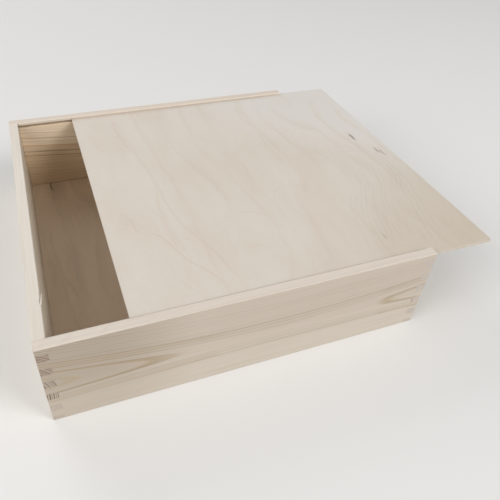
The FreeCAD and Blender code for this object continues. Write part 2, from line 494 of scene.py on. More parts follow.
class MaterialDraft(NodeWriter):
    """A material in the making: object coordinates in, one Principled surface out."""

    BUMP_STRENGTH = 0.6

    def __init__(self, name: str, specular: float = 0.3) -> None:
        """Starts a material.

        Args:
            name: its name.
            specular: its gloss, as a rule that of bare wood.
        """
        self.material = bpy.data.materials.new(name)
        self.material.use_nodes = True
        super().__init__(self.material.node_tree)
        self.surface = self.tree.nodes["Principled BSDF"].inputs
        self.surface["Specular IOR Level"].default_value = specular
        self.point = self.value("ShaderNodeTexCoord", output="Object")
        self.normal = self.value("ShaderNodeTexCoord", output="Normal")

    def turned(self, angle: float) -> Value:
        """Object coordinates turned about Z."""
        inputs = {"Vector": self.point, "Rotation": (0.0, 0.0, angle)}
        return self.value("ShaderNodeMapping", inputs)

    def group(self, tree: bpy.types.NodeTree, inputs: dict) -> list[Value]:
        """Places a shader group and returns its outputs."""
        return self.values(self.node("ShaderNodeGroup", inputs, node_tree=tree))

    def profile(self, value: Value, stops: list[Pair]) -> Value:
        """A number read off a line of stops.

        Args:
            value: where to read.
            stops: places in rising order, each with the number there.

        Returns:
            The number.
        """
        low, high = stops[0][0], stops[-1][0]
        ramp = self.node("ShaderNodeValToRGB", {0: self.share(value, low, high)})
        elements = ramp.color_ramp.elements
        ends = (elements[0], elements[1])
        for place, amount in stops:
            stop = elements.new((place - low) / (high - low))
            stop.color = (amount, amount, amount, 1.0)
        for end in ends:
            elements.remove(end)
        return self.values(ramp)[0]

    def curve(self, value: Value, half: float, points: tuple[Pair, ...]) -> Value:
        """A smooth curve through points.

        Args:
            value: where to read, from -half to half.
            half: half the span of the curve's places and numbers.
            points: three or more places in rising order, each with the number there.

        Returns:
            The number.
        """
        made = self.node("ShaderNodeFloatCurve", {"Value": self.share(value, -half, half)})
        line = made.mapping.curves[0].points
        while len(line) < len(points):
            line.new(0.5, 0.5)
        for point, place in zip(line, points):
            point.location = tuple((number + half) / (2 * half) for number in place)
        made.mapping.update()
        return self.spread(self.values(made)[0], -half, half)

    def corner_shaded(self, colour: Value, joinery: Joinery) -> Value:
        """Lays a line of painted shade along the box's inside corners over a colour.

        Args:
            colour: the colour so far.
            joinery: where the corners are.

        Returns:
            The colour with the line.
        """
        inputs = {
            "Point": self.point, "Half": joinery.half, "Floor": joinery.rebate_top,
            "Low": joinery.groove_floor,
        }
        return self.blend(self.group(painted_corner_shade(), inputs)[0] * CORNER_SHADE, colour, SHADE_TONE)

    def dress(
        self, colour: Value, roughness: Value, height: Value, relief: float
    ) -> bpy.types.Material:
        """Feeds the surface.

        Args:
            colour: the base colour.
            roughness: the roughness.
            height: the relief, from 0 to 1.
            relief: how deep that is, in metres.

        Returns:
            The finished material.
        """
        inputs = {"Strength": self.BUMP_STRENGTH, "Distance": relief, "Height": height}
        bump = self.value("ShaderNodeBump", inputs)
        for name, value in (("Base Color", colour), ("Roughness", roughness), ("Normal", bump)):
            self.feed(self.surface[name], value)
        return self.material


@dataclass(frozen=True)
class PinePalette:
    """The colours of bare pine, and the tones that paint light and shade on it."""

    # The paler and the darker tone of the wood: sapwood and heartwood, which on the front and back
    # boards also paint light and shade by height.
    sapwood_and_light: Colour = shade(226, 215, 199)
    heartwood_and_shade: Colour = shade(217, 202, 182)
    # Painted shade, where a board is darker towards one end.
    side_shaded: Colour = shade(188, 174, 158)
    latewood: Colour = shade(158, 134, 107)
    golden: Colour = shade(192, 172, 148)
    streak: Colour = shade(190, 174, 155)
    rim: Colour = shade(227, 217, 204)
    outside: Colour = shade(222, 208, 190)
    end_sap: Colour = shade(208, 194, 180)
    end_heart: Colour = shade(194, 179, 163)
    end_deep: Colour = shade(184, 165, 149)
    end_late: Colour = shade(104, 86, 70)
    duct: Colour = shade(160, 132, 104)
    polished: Colour = shade(230, 220, 206)


@dataclass(frozen=True)
class Ring:
    """One strong growth ring, in mm from the pith. Its colour fades to both sides.

    Hold is the share of the depth that is left midway to where the outer side ends.
    """

    radius: float
    depth: float
    inner: float = 0.25
    outer: float = 1.2
    hold: float = 0.4


@dataclass(frozen=True)
class PaintedSideShade:
    """How a board is painted darker, as painted shade, from one place along it to another, in metres.

    Fine and rings are how strong the fine and the strong rings are where it is not shaded. Below is
    how strong the rings below the pith are where it is dark, and sapwood_and_light is how much of the
    painted shade the paler part takes.
    """

    places: Pair
    fine: float = 0.4
    rings: float = 0.85
    below: float = 0.3
    sapwood_and_light: float = 0.4


@dataclass(frozen=True)
class Gap:
    """A stretch of a board that its flames and zones leave free. Lengths are in metres.

    Zones close past start and open to either side of end. Their strength drops from the second
    of tip_strength to the first at the tip, which lies past end. Flames close before start and
    open past end, where they stay faint.
    """

    start: float
    end: float
    faint: float
    zones_close: float = 20 * MM
    zones_open: float = 6 * MM
    tip: Pair = (18 * MM, 8 * MM)
    tip_strength: Pair = (0.65, 0.8)
    flames_close: Pair = (55 * MM, 15 * MM)
    flames_open: float = 14 * MM

    def zones(self, draft: NodeWriter, along: Value) -> Value:
        """How strong the zones are.

        Args:
            draft: the board's material.
            along: the place along the board.

        Returns:
            The strength, from 0 to 1.
        """
        closed = draft.step(along, self.start, self.start + self.zones_close)
        opened = draft.step(along, self.end - self.zones_open, self.end + self.zones_open)
        tip = draft.step(along, self.end + self.tip[0], self.end + self.tip[1])
        return (1.0 - (closed - opened)) * draft.spread(tip, *self.tip_strength)

    def flames(self, draft: NodeWriter, along: Value) -> Value:
        """How strong the flames are.

        Args:
            draft: the board's material.
            along: the place along the board.

        Returns:
            The strength, from 0 to 1.
        """
        first, last = self.flames_close
        closed = draft.step(along, self.start - first, self.start - last)
        opened = draft.step(along, self.end, self.end + self.flames_open)
        return (1.0 - (closed - opened)) * draft.spread(opened, 1.0, self.faint)


@dataclass(frozen=True)
class OuterFace:
    """How a board turns plainer between two depths, in metres, towards its outer face.

    Tone is how much of the outer colour it takes, zones and rings what is left of those.
    """

    depths: Pair
    tone: float = 0.8
    zones: float = 0.4
    rings: float = 0.7


@dataclass(frozen=True)
class Lip:
    """The painted light and shade on a long board's lip, the strip over the lid groove. Lengths are in
    metres.

    Its inner face is painted pale in tone, as light on its face, and beside the lid only its upper
    part is. A dark line between the two heights of lid_gap_shade_band is the painted shadow of the gap
    between the lip and the lid. In the other pairs a mark fades out at the first place and is whole at
    the second. The lid's marks lie between beside_lid and open_end.
    """

    pale: float = 0.0
    lid_gap_shade: float = 0.0
    lid_gap_shade_band: Pair = (0.0904, 1.0)
    lid_gap_shade_fade: float = 0.4 * MM
    lid_gap_shade_depth: Pair = (1.1 * MM, 0.2 * MM)
    pale_depth: Pair = (0.8 * MM, 0.3 * MM)
    root: float = 0.8 * MM
    root_beside_lid: float = 0.1
    upper: Pair = (0.0902, 0.0912)
    upper_beside_lid: float = 0.62
    beside_lid: Pair = (-0.108, -0.102)
    open_end: Pair = (0.173, 0.163)
    tone: Colour = shade(244, 232, 214)

    def marked(self, draft: MaterialDraft, colour: Value, joinery: Joinery) -> Value:
        """Paints light and shade on the lip.

        Args:
            draft: the board's material.
            colour: its colour so far.
            joinery: where the lid groove is.

        Returns:
            The colour with the marks.
        """
        along, deep, up = draft.parts(draft.point)
        inward = abs(deep) - joinery.half
        lidded = draft.step(along, *self.beside_lid)
        # Painted light on the lip's inner face.
        if self.pale:
            root = draft.step(up, joinery.groove_top, joinery.groove_top + self.root)
            root = root * draft.spread(lidded, 1.0, self.root_beside_lid)
            upper = draft.step(up, *self.upper) * draft.spread(lidded, 1.0, self.upper_beside_lid)
            shown = draft.step(inward, *self.pale_depth) * draft.math("MAXIMUM", upper, root)
            colour = draft.blend(shown * self.pale, colour, self.tone)
        # Painted shadow of the gap between the lip and the lid.
        if self.lid_gap_shade:
            low, high = self.lid_gap_shade_band
            fade = self.lid_gap_shade_fade
            shown = draft.step(up, low - fade, low + fade) * draft.step(up, high + fade, high - fade)
            shown = draft.step(inward, *self.lid_gap_shade_depth) * shown
            shown = shown * draft.step(along, *self.open_end) * lidded
            colour = draft.blend(shown * self.lid_gap_shade, colour, SHADE_TONE)
        return colour


@dataclass(frozen=True)
class PineFigure:
    """One pine board's own figure. Lengths are in metres.

    The pith is given along the grain, across the board's thickness and in height, in the frame turned
    so that the grain lies along X. The darker tone comes in from the first height of heart_and_shade
    to the second: heartwood, and on the front and back boards also painted shade against painted light
    on the paler part by height. The pale planed rim comes in from the first of rim, and deep end grain
    from the first of deep. Fine rings show between the two distances of band. Fine is how strong they
    are, uneven how that varies, and plain how much of it is left in the paler part. Rings and flames
    are dark lines, and zones are broad golden ones. From a turn below the pith's height down, rings
    have the strength of below. Planed is how much of any line is left on the rim. Bow, rise, lean and
    waviness give the pith its course. Tint is how much of the darker tone shows.
    """

    name: str
    grain: Grain
    pith: Triple
    spacing: float
    heart_and_shade: Pair
    band: Pair
    side_shade: PaintedSideShade | None = None
    rings: tuple[Ring, ...] = ()
    flames: tuple[Ring, ...] = ()
    zones: tuple[Ring, ...] = ()
    gap: Gap | None = None
    below: float = 1.0
    turn: float = 12 * MM
    deep: Pair = (1.0, 2.0)
    lip: Lip | None = None
    outside: OuterFace | None = None
    rim: Pair = (0.0906, 0.0917)
    planed: float = 0.12
    bow: float = 0.0
    rise: float = 0.0
    lean: float = 0.0
    waviness: float = 1.0 * MM
    fine: float = 0.35
    uneven: Pair = (0.45, 1.35)
    plain: float = 0.25
    end_rings: float = 0.6
    end_depth: float = 0.7
    end_pores: float = 0.2
    tint: float = 0.6
    streaking: float = 0.3
    ducts: float = 0.25
    polish: float = 0.3
    gloss: Pair = (0.56, 0.66)
    fibre_relief: float = 0.7
    relief: float = 0.06 * MM
    palette: PinePalette = PinePalette()

    @staticmethod
    def banded(draft: MaterialDraft, radius: Value, rings: tuple[Ring, ...]) -> Value | float:
        """How deep the given rings are.

        Args:
            draft: the board's material.
            radius: the distance from the pith.
            rings: at most seven rings, which don't overlap.

        Returns:
            The depth, or 0 where there are no rings.
        """
        if not rings:
            return 0.0
        stops = []
        for ring in sorted(rings, key=lambda one: one.radius):
            stops += [
                (ring.radius - ring.inner, 0.0),
                (ring.radius, ring.depth),
                (ring.radius + ring.outer / 2, ring.depth * ring.hold),
                (ring.radius + ring.outer, 0.0),
            ]
        return draft.profile(radius, [(place * MM, depth) for place, depth in stops])

    def fine_lines(self, draft: MaterialDraft, point: Value, radius: Value, late: Value) -> Value:
        """How strong the fine rings are within their band.

        Args:
            draft: the board's material.
            point: object coordinates turned to the grain.
            radius: the distance from the pith.
            late: the latewood of the fine rings.

        Returns:
            The strength, which varies from place to place.
        """
        first, last = self.band
        begun = draft.step(radius, first - self.spacing, first)
        ended = draft.step(radius, last + 5 * self.spacing, last)
        patchy = draft.step(draft.noise(point, (0.16, 0.02, 0.009)), 0.3, 0.7)
        return late * (begun * ended) * draft.spread(patchy, *self.uneven)

    def end_colour(
        self, draft: MaterialDraft, up: Value, heart_and_shade: Value, late: Value, pores: Value
    ) -> Value:
        """The colour where the board is cut across its fibres.

        Args:
            draft: the board's material.
            up: the height.
            heart_and_shade: how much of the darker tone there is, heartwood and painted shade.
            late: the latewood of the fine rings.
            pores: how rough the cut is.

        Returns:
            The colour.
        """
        wood = self.palette
        return draft.layered(
            draft.blend(heart_and_shade, wood.end_sap, wood.end_heart),
            (draft.step(up, *self.deep) * self.end_depth, wood.end_deep),
            (late * draft.spread(heart_and_shade, 0.25, 1.0) * self.end_rings, wood.end_late),
            (draft.spread(pores, 0.0, self.end_pores), wood.end_late),
        )

    def material(self, joinery: Joinery) -> bpy.types.Material:
        """Makes the board's material.

        Args:
            joinery: the joints, whose inside corners and lip it paints in light and shade.

        Returns:
            The finished material.
        """
        draft = MaterialDraft(self.name)
        wood = self.palette
        point = draft.turned(self.grain.value)
        along, _, up = draft.parts(draft.point)
        radius = draft.group(pith_distance(), {
            "Point": point, "Pith": self.pith, "Bow": self.bow, "Rise": self.rise,
            "Lean": self.lean, "Waviness": self.waviness,
        })[0]
        latewood = draft.group(fine_rings(), {"Radius": radius, "Spacing": self.spacing})[0]
        streaks, ducts = draft.group(fibre_streaks(), {"Point": point})
        facing = {"Point": point, "Normal": draft.normal, "Grain": self.grain.direction}
        end, pores = draft.group(end_grain(), facing)
        edge = draft.group(arris(), {"Point": draft.point, "Normal": draft.normal})[0]
        # The darker tone by height: heartwood, and on the front and back boards painted shade against
        # the painted light of the paler part.
        heart_and_shade = draft.step(up, *self.heart_and_shade)
        rim = draft.step(up, *self.rim)
        side = draft.blend(heart_and_shade * self.tint, wood.sapwood_and_light, wood.heartwood_and_shade)
        fine = self.fine_lines(draft, point, radius, latewood)
        fine = fine * draft.spread(heart_and_shade, self.plain, 1.0)
        strong = self.banded(draft, radius, self.rings)
        zones = self.banded(draft, radius, self.zones)
        below = self.below
        # Painted shade: the board is darker towards one end, where less light falls.
        if self.side_shade:
            side_shaded = draft.step(along, *self.side_shade.places)
            fine = fine * draft.spread(side_shaded, self.side_shade.fine, 1.0)
            strong = strong * draft.spread(side_shaded, self.side_shade.rings, 1.0)
            below = draft.spread(side_shaded, below, self.side_shade.below)
            darker = side_shaded * draft.spread(heart_and_shade, self.side_shade.sapwood_and_light, 1.0)
            side = draft.blend(darker, side, wood.side_shaded)
        above = draft.step(up, self.pith[2] - self.turn, self.pith[2])
        strong = strong * draft.spread(above, below, 1.0)
        if self.gap:
            zones = zones * self.gap.zones(draft, along)
            flames = self.banded(draft, radius, self.flames) * self.gap.flames(draft, along)
            strong = draft.math("MAXIMUM", strong, flames)
        late = draft.math("MAXIMUM", fine * self.fine, strong) * draft.spread(rim, 1.0, self.planed)
        if self.outside:
            outer = draft.step(draft.parts(point)[1], *self.outside.depths)
            side = draft.blend(outer * self.outside.tone, side, wood.outside)
            zones = zones * draft.spread(outer, 1.0, self.outside.zones)
            late = late * draft.spread(outer, 1.0, self.outside.rings)
        side = draft.layered(
            side, (zones, wood.golden), (rim, wood.rim), (late, wood.latewood),
            (draft.step(streaks, 0.42, 0.7) * self.streaking, wood.streak),
            (ducts * self.ducts, wood.duct), (edge * self.polish, wood.polished),
        )
        # Painted light and shade on the lip.
        if self.lip:
            side = self.lip.marked(draft, side, joinery)
        colour = draft.blend(end, side, self.end_colour(draft, up, heart_and_shade, latewood, pores))
        roughness = draft.spread(late + end, *self.gloss)
        height = streaks * self.fibre_relief + (late + pores * end)
        # Painted shade in the inside corners.
        return draft.dress(draft.corner_shaded(colour, joinery), roughness, height, self.relief)


@dataclass(frozen=True)
class Knot:
    """A pin knot or bark streak in a veneer, in mm. Bend is how sharply it curves, per metre."""

    centre: Pair
    length: float
    width: float
    depth: float
    bend: float = 0.0

    def mask(self, draft: MaterialDraft) -> Value:
        """How strong the knot is at a point.

        Args:
            draft: the veneer's material.

        Returns:
            The strength, from 0 to its depth.
        """
        mark = draft.group(pin_knot(), {
            "Point": draft.point, "Centre": (self.centre[0] * MM, self.centre[1] * MM, 0.0),
            "Length": self.length * MM, "Width": self.width * MM, "Bend": self.bend,
        })
        return mark[0] * self.depth


class Course(Enum):
    """The axis that a figure line mostly follows: its number, and that of the axis across."""

    LENGTHWAYS = (1, 0)
    SIDEWAYS = (0, 1)


@dataclass(frozen=True)
class FigureLine:
    """One line of a veneer's figure, in mm, through points along its course and across it.

    It has as many lines like it on either side as beside says, a pitch apart.
    """

    points: tuple[Pair, ...]
    depth: float
    width: float = 2.0
    course: Course = Course.LENGTHWAYS
    beside: int = 0
    pitch: float = 6.0
    SPAN = 0.3

    def mask(self, draft: MaterialDraft) -> Value:
        """How strong the line is at a point.

        Args:
            draft: the veneer's material.

        Returns:
            The strength, from 0 to its depth.
        """
        points = tuple(sorted((along * MM, across * MM) for along, across in self.points))
        place = draft.parts(draft.point)
        along, across = (place[axis] for axis in self.course.value)
        line = draft.group(figure_line(), {
            "Point": draft.point, "Off": across - draft.curve(along, self.SPAN, points),
            "Along": along, "Start": points[0][0], "End": points[-1][0],
            "Width": self.width * MM, "Beside": self.beside, "Pitch": self.pitch * MM,
        })
        return line[0] * self.depth


@dataclass(frozen=True)
class VeneerFigure:
    """One sheet of pale peeled veneer, whose fibres run along Y. Lengths are in metres.

    Where painted_shade_run is given, the sheet is painted browner, as shade, as X less Y goes from its
    first number to its second, and where painted_cool_light_run is given, it is painted cooler, as
    light, as X plus Y does.
    """

    name: str
    pitch: float
    swirl: float
    drift: Triple
    contrast: float
    lines: tuple[FigureLine, ...] = ()
    shadows: tuple[FigureLine, ...] = ()
    knots: tuple[Knot, ...] = ()
    painted_shade_run: Pair | None = None
    painted_cool_light_run: Pair | None = None
    grain: Grain = Grain.ALONG_Y
    clouding: float = 0.5
    vessels: float = 0.2
    gloss: Pair = (0.5, 0.62)
    relief: float = 0.03 * MM
    pale: Colour = shade(221, 212, 201)
    figure: Colour = shade(202, 182, 156)
    cloud: Colour = shade(213, 201, 186)
    vessel: Colour = shade(198, 180, 156)
    knot: Colour = shade(112, 88, 68)
    cut: Colour = shade(214, 201, 186)
    painted_shade_tint: Colour = shade(241, 238, 232)
    painted_cool_light: Colour = shade(222, 217, 210)
    shadow: Colour = shade(190, 182, 172)

    def material(self, joinery: Joinery) -> bpy.types.Material:
        """Makes the veneer's material.

        Args:
            joinery: the joints, whose inside corners it paints in shade.

        Returns:
            The finished material.
        """
        draft = MaterialDraft(self.name)
        x, y, _ = draft.parts(draft.point)
        contours, vessels, clouds = draft.group(veneer_figure(), {
            "Point": draft.point, "Pitch": self.pitch, "Swirl": self.swirl, "Drift": self.drift,
        })
        facing = {"Point": draft.point, "Normal": draft.normal, "Grain": self.grain.direction}
        edge, pores = draft.group(end_grain(), facing)
        clouded = draft.step(clouds, 0.35, 0.7) * self.clouding
        colour = draft.blend(clouded, self.pale, self.cloud)
        # Painted cool light towards the back right.
        if self.painted_cool_light_run:
            colour = draft.blend(draft.step(x + y, *self.painted_cool_light_run), colour, self.painted_cool_light)
        lines = contours * self.contrast
        for line in self.lines:
            lines = draft.math("MAXIMUM", lines, line.mask(draft))
        colour = draft.layered(
            colour, (lines, self.figure),
            *((line.mask(draft), self.shadow) for line in self.shadows),
            (vessels * self.vessels, self.vessel),
            *((knot.mask(draft), self.knot) for knot in self.knots),
        )
        # Painted shade towards the front right corner, browner and darker.
        if self.painted_shade_run:
            in_painted_shade = draft.blend(1.0, colour, self.painted_shade_tint, "MULTIPLY")
            colour = draft.blend(draft.step(x - y, *self.painted_shade_run), colour, in_painted_shade)
        # Painted shade in the inside corners.
        colour = draft.corner_shaded(draft.blend(edge, colour, self.cut), joinery)
        roughness = draft.spread(clouds, *self.gloss)
        return draft.dress(colour, roughness, vessels + pores * edge, self.relief)


# --- Geometry ---------------------------------------------------------------------------------


@functools.cache
def row_of_cuts() -> bpy.types.NodeTree:
    """Takes a row of equal blocks out of a board.

    Returns:
        The group. First is the middle of the first block, and Step leads from one to the next.
    """
    inputs = {
        "Geometry": bpy.types.Mesh, "Block": (1.0, 1.0, 1.0), "First": ORIGIN, "Step": ORIGIN,
        "Count": 1, "Wood": bpy.types.Material,
    }
    draft = GroupDraft("Row of cuts", "GeometryNodeTree", inputs, {"Geometry": bpy.types.Mesh})
    board, size, first, step, count, wood = draft.given
    places = {"Count": count, "Start Location": first, "Offset": step}
    row = draft.value("GeometryNodeMeshLine", places, mode="OFFSET")
    block = draft.value("GeometryNodeMeshCube", {"Size": size})
    blocks = draft.value("GeometryNodeInstanceOnPoints", {"Points": row, "Instance": block})
    solid = draft.value("GeometryNodeRealizeInstances", {0: blocks})
    less = draft.value(
        "GeometryNodeMeshBoolean", {"Mesh 1": board, "Mesh 2": solid},
        operation="DIFFERENCE", solver="EXACT",
    )
    whole = draft.value("GeometryNodeRealizeInstances", {0: less})
    return draft.finish(
        draft.value("GeometryNodeSetMaterial", {"Geometry": whole, "Material": wood})
    )


@functools.cache
def stack_of_plies() -> bpy.types.NodeTree:
    """A plywood sheet laid up ply by ply, each second one a little short of the edge.

    Returns:
        The group. Middle is the middle of the sheet, and Recess is how short a core ply stays.
    """
    inputs = {
        "Geometry": bpy.types.Mesh, "Size": (1.0, 1.0, 1.0), "Middle": ORIGIN, "Plies": 3,
        "Recess": 0.0001, "Face": bpy.types.Material, "Core": bpy.types.Material,
    }
    draft = GroupDraft("Stack of plies", "GeometryNodeTree", inputs, {"Geometry": bpy.types.Mesh})
    _, size, middle, count, recess, face, core = draft.given
    across, deep, thick = draft.parts(size)
    ply = thick / count
    start = draft.vector_math("ADD", middle, draft.joined(0.0, 0.0, (ply - thick) * 0.5))
    places = {"Count": count, "Start Location": start, "Offset": draft.joined(0.0, 0.0, ply)}
    column = draft.value("GeometryNodeMeshLine", places, mode="OFFSET")
    second = draft.math("MODULO", draft.value("GeometryNodeInputIndex"), 2.0)
    short = second * recess * 2.0
    scale = draft.joined(1.0 - short / across, 1.0 - short / deep, 1.0)
    sheet = draft.value("GeometryNodeMeshCube", {"Size": draft.joined(across, deep, ply)})
    laid = {"Points": column, "Instance": sheet, "Scale": scale}
    plies = draft.value("GeometryNodeInstanceOnPoints", laid)
    marked = draft.value(
        "GeometryNodeStoreNamedAttribute", {"Geometry": plies, "Name": "core", "Value": second},
        data_type="FLOAT", domain="INSTANCE",
    )
    whole = draft.value("GeometryNodeRealizeInstances", {0: marked})
    faced = draft.value("GeometryNodeSetMaterial", {"Geometry": whole, "Material": face})
    mark = draft.value("GeometryNodeInputNamedAttribute", {"Name": "core"}, data_type="FLOAT")
    cores = {"Geometry": faced, "Selection": draft.math("GREATER_THAN", mark, 0.5), "Material": core}
    return draft.finish(draft.value("GeometryNodeSetMaterial", cores))


def add_tree(piece: bpy.types.Object, name: str, tree: bpy.types.NodeTree, inputs: dict) -> None:
    """Puts a Geometry Nodes tree on a piece.

    Args:
        piece: the object.
        name: the modifier's name.
        tree: the node group.
        inputs: the value of each input, by its name in the group.
    """
    modifier = piece.modifiers.new(name, "NODES")
    modifier.node_group = tree
    keys = {
        item.name: item.identifier
        for item in tree.interface.items_tree
        if item.item_type == "SOCKET" and item.in_out == "INPUT"
    }
    for label, value in inputs.items():
        modifier[keys[label]] = value


def add_arrises(piece: bpy.types.Object, width: float) -> None:
    """Breaks every sharp edge of a piece by a small bevel.

    Args:
        piece: the object.
        width: the bevel's width, in metres.
    """
    bevel = piece.modifiers.new("arrises", "BEVEL")
    bevel.width = width
    bevel.segments = ARRIS_STEPS
    bevel.limit_method = "ANGLE"
    bevel.angle_limit = SHARP_ANGLE


def add_mesh(name: str, shape: bmesh.types.BMesh) -> bpy.types.Object:
    """Adds an object at the origin.

    Args:
        name: the object's name.
        shape: its shape, which is then freed.

    Returns:
        The object.
    """
    mesh = bpy.data.meshes.new(name)
    shape.to_mesh(mesh)
    shape.free()
    piece = bpy.data.objects.new(name, mesh)
    bpy.context.scene.collection.objects.link(piece)
    return piece


def settle(piece: bpy.types.Object) -> None:
    """Turns a piece with modifiers into a plain mesh of the same shape.

    Args:
        piece: the object.
    """
    graph = bpy.context.evaluated_depsgraph_get()
    mesh = bpy.data.meshes.new_from_object(piece.evaluated_get(graph))
    piece.modifiers.clear()
    piece.data = mesh


@dataclass(frozen=True)
class Joinery:
    """The joints between the boards, in metres.

    The frame's nodes give the first six. Finger is the height of a finger, and over how far a
    cutter runs past the wood. Rounding is the radius of the outside edges, easing that of the
    rim's inner ones, and arris the width of the bevel on all that is sharp.
    """

    wall: float
    half: float
    groove_floor: float
    groove_top: float
    ploughed: float
    rebate_top: float
    finger: float = 8 * MM
    over: float = 5 * MM
    rounding: float = 0.8 * MM
    round_steps: int = 4
    easing: float = 0.5 * MM
    ease_steps: int = 3
    arris: float = 0.12 * MM

    @classmethod
    def from_frame(cls) -> Joinery:
        """Reads the joints off the boxes of the nodes that meet there.

        Returns:
            The joinery of this box.
        """
        front_low, front_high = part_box("front_wall")
        panel_low, panel_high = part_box("bottom_panel")
        lid_low, lid_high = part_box("lid")
        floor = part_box("right_end_wall")[1].z
        return cls(
            wall=front_high.y - front_low.y,
            half=-front_high.y,
            groove_floor=floor,
            groove_top=lid_high.z + lid_low.z - floor,
            ploughed=front_high.y - panel_low.y,
            rebate_top=panel_high.z,
        )

    @property
    def stop(self) -> float:
        """How far from the outside a groove or rebate stops."""
        return self.wall - self.ploughed


@dataclass
class Board:
    """One pine board of the box, cut from a rounded blank as a joiner cuts it."""

    node: str
    figure: PineFigure
    joinery: Joinery
    outer: tuple[Face, ...]
    nicks: tuple[tuple[Triple, Triple], ...] = ()

    def build(self) -> bpy.types.Object:
        """Makes the board, which stands for its node.

        Returns:
            The finished piece.
        """
        piece = add_mesh(f"{self.node}_board", self.blank())
        self.wood = self.figure.material(self.joinery)
        self.cut_joints(piece)
        for number, (low, high) in enumerate(self.nicks):
            self.take_out(piece, f"nick_{number}", low, high)
        add_arrises(piece, self.joinery.arris)
        settle(piece)
        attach(piece, "box")
        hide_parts(self.node)
        return piece

    def blank(self) -> bmesh.types.BMesh:
        """The board before its joints are cut.

        Returns:
            Its shape, with the outside edges rounded and the rim's inner edge eased.
        """
        low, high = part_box(self.node)
        shape = bmesh.new()
        bmesh.ops.create_cube(shape, size=1.0)
        bmesh.ops.scale(shape, vec=high - low, verts=shape.verts)
        bmesh.ops.translate(shape, vec=(high + low) / 2, verts=shape.verts)
        cut = self.joinery
        ends = (low, high)
        places = [(axis, ends[end][axis]) for axis, end in (face.value for face in self.outer)]
        self.round_edges(shape, places, cut.rounding, cut.round_steps)
        if Face.RIM in self.outer:
            axis, end = self.outer[0].value
            inner = (axis, ends[1 - end][axis])
            start = self.easing_start()
            bmesh.ops.bisect_plane(
                shape, geom=[*shape.verts, *shape.edges, *shape.faces],
                plane_co=(start, 0.0, 0.0), plane_no=(1.0, 0.0, 0.0),
            )
            self.round_edges(shape, [inner, (2, high.z)], cut.easing, cut.ease_steps, start)
        return shape

    def easing_start(self) -> float:
        """The X from which the inner arris of the rim is eased."""
        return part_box(self.node)[0].x

    def round_edges(
        self, shape: bmesh.types.BMesh, places: list[tuple[int, float]], radius: float,
        segments: int, start: float = -1.0,
    ) -> None:
        """Rounds each edge of the blank that lies in two of the given planes.

        Args:
            shape: the blank.
            places: the axis of each plane, and its place there.
            radius: the radius of the rounding.
            segments: how many flats it has.
            start: the X that the edges lie past.
        """
        near = self.joinery.arris
        rounded = [
            edge
            for edge in shape.edges
            if all(vert.co.x > start - near for vert in edge.verts)
            and sum(
                all(abs(vert.co[axis] - place) < near for vert in edge.verts)
                for axis, place in places
            ) == 2
        ]
        bmesh.ops.bevel(
            shape, geom=rounded, offset=radius, segments=segments, profile=0.5, affect="EDGES"
        )

    def take_out(
        self, piece: bpy.types.Object, name: str, low: Triple, high: Triple,
        down: float = 0.0, count: int = 1,
    ) -> None:
        """Cuts a block out of the board, or a row of blocks going down.

        Args:
            piece: the board.
            name: what is cut.
            low, high: the corners of the first block.
            down: how far below each block the next one is.
            count: how many blocks there are.
        """
        low, high = Vector(low), Vector(high)
        add_tree(piece, name, row_of_cuts(), {
            "Block": high - low, "First": (high + low) / 2, "Step": Vector((0.0, 0.0, -down)),
            "Count": count, "Wood": self.wood,
        })

    def cut_joints(self, piece: bpy.types.Object) -> None:
        """Cuts the fingers, the lid groove and the rebate for the bottom."""
        raise NotImplementedError


class LongBoard(Board):
    """The front or back board: sockets at its ends, and a lid groove that runs out at the right."""

    def easing_start(self) -> float:
        """The inner arris is eased from the left board on."""
        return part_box(self.node)[0].x + self.joinery.wall

    def cut_joints(self, piece: bpy.types.Object) -> None:
        """Cuts both rows of sockets, the groove and the rebate.

        Args:
            piece: the board.
        """
        low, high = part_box(self.node)
        cut = self.joinery
        first = cut.groove_floor - cut.finger
        count = math.ceil(cut.groove_floor / (2 * cut.finger))
        for name, left, right in (
            ("sockets_left", low.x - cut.over, low.x + cut.wall),
            ("sockets_right", high.x - cut.wall, high.x + cut.over),
        ):
            self.take_out(
                piece, name, (left, low.y - cut.over, first),
                (right, high.y + cut.over, cut.groove_floor), 2 * cut.finger, count,
            )
        inward = Face.FRONT in self.outer
        near = high.y - cut.ploughed if inward else low.y - cut.over
        far = high.y + cut.over if inward else low.y + cut.ploughed
        self.take_out(
            piece, "lid_groove", (low.x + cut.stop, near, cut.groove_floor),
            (high.x + cut.over, far, cut.groove_top),
        )
        self.take_out(
            piece, "bottom_rebate", (low.x + cut.stop, near, low.z - cut.over),
            (high.x - cut.stop, far, cut.rebate_top),
        )


class EndBoard(Board):
    """The left or right board, with notches for the fingers of the long boards."""

    def cut_joints(self, piece: bpy.types.Object) -> None:
        """Cuts both rows of notches and the rebate, and at the left the shoulders and the groove.

        Args:
            piece: the board.
        """
        low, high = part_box(self.node)
        cut = self.joinery
        inward = Face.LEFT in self.outer
        near = high.x - cut.ploughed if inward else low.x - cut.over
        far = high.x + cut.over if inward else low.x + cut.ploughed
        top = cut.groove_floor - cut.finger
        count = math.ceil(top / (2 * cut.finger))
        left, right = low.x - cut.over, high.x + cut.over
        for side, front, back in (
            ("front", low.y - cut.over, low.y + cut.wall),
            ("back", high.y - cut.wall, high.y + cut.over),
        ):
            self.take_out(
                piece, f"notches_{side}", (left, front, top - cut.finger), (right, back, top),
                2 * cut.finger, count,
            )
            if inward:
                self.take_out(
                    piece, f"shoulder_{side}", (left, front, cut.groove_floor),
                    (right, back, high.z + cut.over),
                )
        if inward:
            self.take_out(
                piece, "lid_groove", (near, low.y - cut.over, cut.groove_floor),
                (far, high.y + cut.over, cut.groove_top),
            )
        self.take_out(
            piece, "bottom_rebate", (near, low.y + cut.stop, low.z - cut.over),
            (far, high.y - cut.stop, cut.rebate_top),
        )


